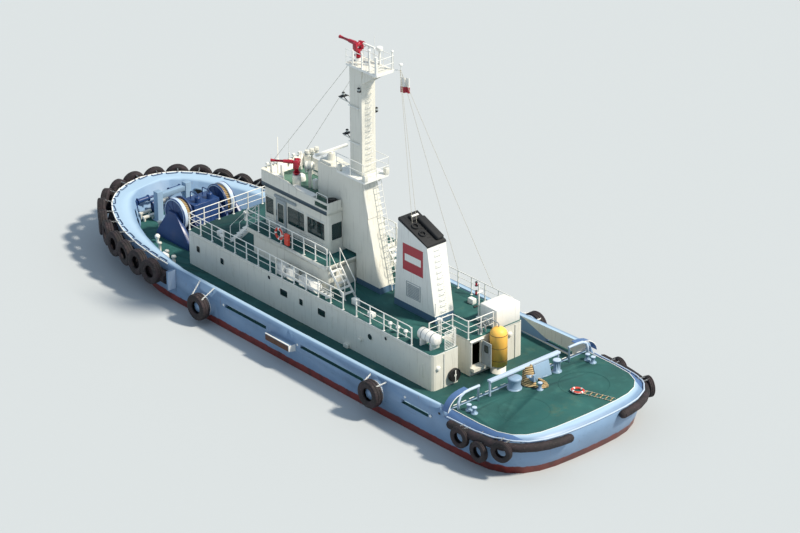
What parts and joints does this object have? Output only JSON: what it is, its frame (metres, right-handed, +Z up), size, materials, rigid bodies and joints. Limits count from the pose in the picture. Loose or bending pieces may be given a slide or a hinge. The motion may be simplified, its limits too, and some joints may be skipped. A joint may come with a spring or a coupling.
{
  "type": "tugboat",
  "caption": "Harbour tug afloat with bow tyre fenders, twin winch, narrow wheelhouse, tall mast, funnel, fire monitors and azimuth thrusters",
  "frame": {"origin": "on the centreline amidships at the waterline", "axes": "+X forward to the bow, +Y to port, +Z up"},
  "size_m": [38.3755, 11.9606, 21.06],
  "materials": {
    "topsides": "semi-gloss marine enamel",
    "deck_paint": "matt non-slip deck paint",
    "cream_paint": "semi-gloss marine enamel",
    "white_paint": "semi-gloss marine enamel",
    "grey_paint": "semi-gloss marine enamel",
    "sea_blue_paint": "semi-gloss marine enamel",
    "navy_paint": "semi-gloss marine enamel",
    "yellow_paint": "semi-gloss marine enamel",
    "red_paint": "gloss enamel",
    "soot_black": "heat-proof matt paint",
    "fender_rubber": "weathered black rubber",
    "antifouling": "matt antifouling",
    "propeller_bronze": "polished bronze"
  },
  "bodies": {
    "hull": {"hull": "topsides", "main_deck": "deck_paint", "aft_deck": "deck_paint", "deckhouse": "cream_paint", "boat_deck": "deck_paint", "under_bridge_house": "cream_paint", "bridge_deck": "cream_paint", "wheelhouse": "cream_paint", "wheelhouse_roof": "cream_paint", "trunk": "cream_paint", "lower_platform": "white_paint", "mast": "cream_paint", "upper_platform": "white_paint", "funnel": "white_paint", "exhaust_pipes": "soot_black", "winch_frame": "navy_paint", "tow_staple": "sea_blue_paint", "bow_roller": "navy_paint", "rope_guard_centre": "sea_blue_paint", "rope_guard_port": "sea_blue_paint", "rope_guard_starboard": "sea_blue_paint", "tow_hook": "sea_blue_paint", "aft_locker": "sea_blue_paint", "foam_tank": "yellow_paint", "vent_house": "white_paint", "life_raft": "white_paint", "aft_pole": "white_paint", "boat_rail_front": "white_paint", "boat_rail_port": "white_paint", "boat_rail_starboard": "white_paint", "boat_rail_aft": "white_paint", "bridge_rail_port": "white_paint", "bridge_rail_starboard": "white_paint", "stair_port": "white_paint", "stair_starboard": "white_paint", "stair_front": "white_paint", "roof_monitor_base": "white_paint", "bow_fender": "fender_rubber", "stern_fender_port": "fender_rubber", "stern_fender_starboard": "fender_rubber", "side_fender_fore_port": "fender_rubber", "side_fender_fore_starboard": "fender_rubber", "side_fender_aft_port": "fender_rubber", "side_fender_aft_starboard": "fender_rubber"},
    "deckhouse_door": {"deckhouse_door": "grey_paint"},
    "sliding_door_port": {"sliding_door_port": "cream_paint"},
    "sliding_door_starboard": {"sliding_door_starboard": "cream_paint"},
    "winch_drum_port": {"winch_drum_port": "navy_paint"},
    "winch_drum_starboard": {"winch_drum_starboard": "navy_paint"},
    "capstan_head": {"capstan_head": "sea_blue_paint"},
    "radar_scanner": {"radar_scanner": "white_paint"},
    "mast_radar_scanner": {"mast_radar_scanner": "white_paint"},
    "roof_monitor_head": {"roof_monitor_head": "red_paint"},
    "roof_monitor_barrel": {"roof_monitor_barrel": "red_paint"},
    "mast_monitor_head": {"mast_monitor_head": "red_paint"},
    "mast_monitor_barrel": {"mast_monitor_barrel": "red_paint"},
    "thruster_port": {"thruster_port": "antifouling"},
    "thruster_starboard": {"thruster_starboard": "antifouling"},
    "propeller_port": {"propeller_port": "propeller_bronze"},
    "propeller_starboard": {"propeller_starboard": "propeller_bronze"}
  },
  "joints": [
    {"name": "deckhouse_door_hinge", "type": "hinge", "parent": "hull", "child": "deckhouse_door", "pos_m": [-10.035, -0.235, 2.45], "axis": [0, 0, 1], "range_deg": [-90, 8]},
    {"name": "sliding_door_port_slide", "type": "slide", "parent": "hull", "child": "sliding_door_port", "axis": [-1, 0, 0], "range_m": [0, 0.8]},
    {"name": "sliding_door_starboard_slide", "type": "slide", "parent": "hull", "child": "sliding_door_starboard", "axis": [-1, 0, 0], "range_m": [0, 0.8]},
    {"name": "winch_drum_port_spin", "type": "hinge", "parent": "hull", "child": "winch_drum_port", "pos_m": [13.05, 1.5, 2.72], "axis": [0, 1, 0], "continuous": true},
    {"name": "winch_drum_starboard_spin", "type": "hinge", "parent": "hull", "child": "winch_drum_starboard", "pos_m": [13.05, -1.5, 2.72], "axis": [0, 1, 0], "continuous": true},
    {"name": "capstan_spin", "type": "hinge", "parent": "hull", "child": "capstan_head", "pos_m": [-13.6, 0.85, 2.5], "axis": [0, 0, 1], "continuous": true},
    {"name": "radar_spin", "type": "hinge", "parent": "hull", "child": "radar_scanner", "pos_m": [1.45, 0, 9.9], "axis": [0, 0, 1], "continuous": true},
    {"name": "mast_radar_spin", "type": "hinge", "parent": "hull", "child": "mast_radar_scanner", "pos_m": [-1.65, 0, 16.7], "axis": [0, 0, 1], "continuous": true},
    {"name": "roof_monitor_turn", "type": "hinge", "parent": "hull", "child": "roof_monitor_head", "pos_m": [3.7, 0.56, 7.95], "axis": [0, 0, 1], "range_deg": [-90, 120]},
    {"name": "roof_monitor_raise", "type": "hinge", "parent": "roof_monitor_head", "child": "roof_monitor_barrel", "pos_m": [3.7, 0.56, 8.67], "axis": [-0.6157, 0.788, 0], "range_deg": [-60, 10]},
    {"name": "mast_monitor_turn", "type": "hinge", "parent": "hull", "child": "mast_monitor_head", "pos_m": [-0.8, 0, 15.83], "axis": [0, 0, 1], "range_deg": [-120, 120]},
    {"name": "mast_monitor_raise", "type": "hinge", "parent": "mast_monitor_head", "child": "mast_monitor_barrel", "pos_m": [-0.8, 0, 16.55], "axis": [0, 1, 0], "range_deg": [-60, 0]},
    {"name": "thruster_port_azimuth", "type": "hinge", "parent": "hull", "child": "thruster_port", "pos_m": [-14.4, 2.3, -3], "axis": [0, 0, 1], "continuous": true},
    {"name": "propeller_port_spin", "type": "hinge", "parent": "thruster_port", "child": "propeller_port", "pos_m": [-15.3, 2.3, -3], "axis": [1, 0, 0], "continuous": true},
    {"name": "thruster_starboard_azimuth", "type": "hinge", "parent": "hull", "child": "thruster_starboard", "pos_m": [-14.4, -2.3, -3], "axis": [0, 0, 1], "continuous": true},
    {"name": "propeller_starboard_spin", "type": "hinge", "parent": "thruster_starboard", "child": "propeller_starboard", "pos_m": [-15.3, -2.3, -3], "axis": [1, 0, 0], "continuous": true}
  ]
}
